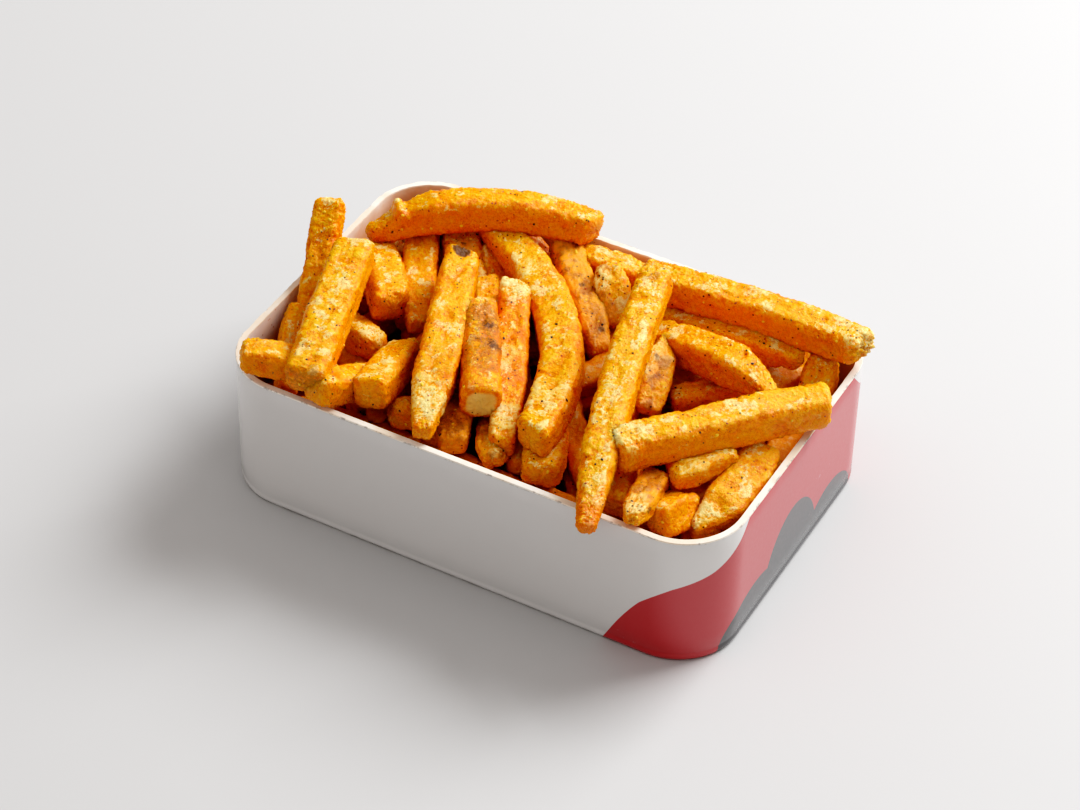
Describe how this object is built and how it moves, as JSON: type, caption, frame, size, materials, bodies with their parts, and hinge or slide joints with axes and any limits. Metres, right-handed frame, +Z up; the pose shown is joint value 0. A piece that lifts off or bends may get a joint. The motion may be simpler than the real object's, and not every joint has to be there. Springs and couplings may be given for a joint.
{
  "type": "french fries in a carton",
  "caption": "Seasoned thick-cut french fries heaped in an open takeaway carton with round corners.",
  "frame": {"origin": "middle of the carton's underside, on the surface that it stands on", "axes": "+X along the carton's long side, +Y from its front long wall to its back long wall, +Z up"},
  "size_m": [0.1611, 0.1147, 0.0622],
  "materials": {
    "board": "white coated carton board with a red and grey print, matt and smooth",
    "fried_potato": "golden fried potato crust with oil, pepper and red ground spice, slightly glossy"
  },
  "bodies": {
    "root": {"carton": "board", "fries": "fried_potato"}
  },
  "joints": []
}
